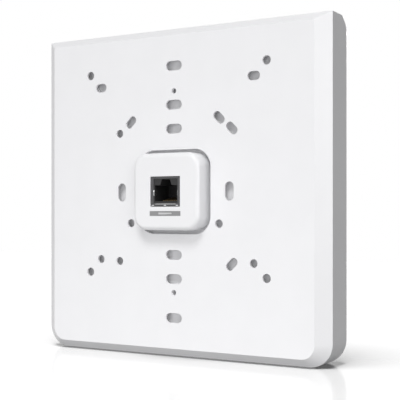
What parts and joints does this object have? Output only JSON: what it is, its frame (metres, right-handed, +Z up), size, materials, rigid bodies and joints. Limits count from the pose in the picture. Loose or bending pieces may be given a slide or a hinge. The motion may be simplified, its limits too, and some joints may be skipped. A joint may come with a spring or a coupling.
{
  "type": "wall and ceiling access point",
  "caption": "Square white wireless access point on a bevelled screw-on mounting plate, with a network port on a central turret that stands out of the wall side.",
  "frame": {"origin": "middle of the mounting plate's flat wall face, which lies at y = 0", "axes": "+Z up as the part hangs on a wall, -Y out of the wall face towards the wall, +Y towards the room, +X to the right as seen from the port side"},
  "size_m": [0.1582, 0.034, 0.158],
  "materials": {
    "plate_plastic": "fine satin moulded texture",
    "cover_plastic": "satin",
    "front_plastic": "fine satin moulded texture",
    "spring_steel": "bright drawn wire",
    "screw_steel": "zinc plated",
    "grey_print": "printed",
    "label_paper": "satin film",
    "foam_rubber": "soft foam",
    "shield_metal": "nickel plated sheet",
    "jack_plastic": "moulded",
    "gold_plate": "gold plated",
    "board_laminate": "solder resist",
    "cast_aluminium": "as cast",
    "thermal_rubber": "soft",
    "chip_resin": "moulded resin",
    "ferrite": "sintered",
    "capacitor_can": "drawn can",
    "antenna_brass": "stamped sheet",
    "led_resin": "clear resin",
    "clear_plastic": "polished clear plastic",
    "button_plastic": "moulded"
  },
  "bodies": {
    "plate": {"wall_plate": "plate_plastic"},
    "unit": {"rear_cover": "cover_plastic", "front_cover": "front_plastic", "spring_clips": "spring_steel", "cover_screws": "screw_steel", "board_screws": "screw_steel", "port_label": "grey_print", "rating_label": "label_paper", "port_gasket": "foam_rubber", "jack_shell": "shield_metal", "jack_body": "jack_plastic", "jack_contacts": "gold_plate", "main_board": "board_laminate", "heat_spreader": "cast_aluminium", "thermal_pads": "thermal_rubber", "processor": "chip_resin", "memory_chips": "chip_resin", "flash_chip": "chip_resin", "radio_chips": "chip_resin", "power_controller": "chip_resin", "crystals": "shield_metal", "shield_cans": "shield_metal", "network_transformer": "chip_resin", "power_transformer": "ferrite", "power_inductors": "ferrite", "power_capacitors": "capacitor_can", "antenna_2g": "antenna_brass", "antenna_5g": "antenna_brass", "antenna_6g": "antenna_brass", "status_led": "led_resin", "light_pipe": "clear_plastic", "reset_switch": "jack_plastic"},
    "reset": {"reset_button": "button_plastic"}
  },
  "joints": [
    {"name": "unit_pull", "type": "slide", "parent": "plate", "child": "unit", "axis": [0, 1, 0], "range_m": [0, 0.04], "deforming": ["spring_clips"]},
    {"name": "reset_press", "type": "slide", "parent": "unit", "child": "reset", "axis": [0, 1, 0], "range_m": [0, 0.0005], "stiffness_N_per_m": 800, "springref_m": -0.0003}
  ]
}
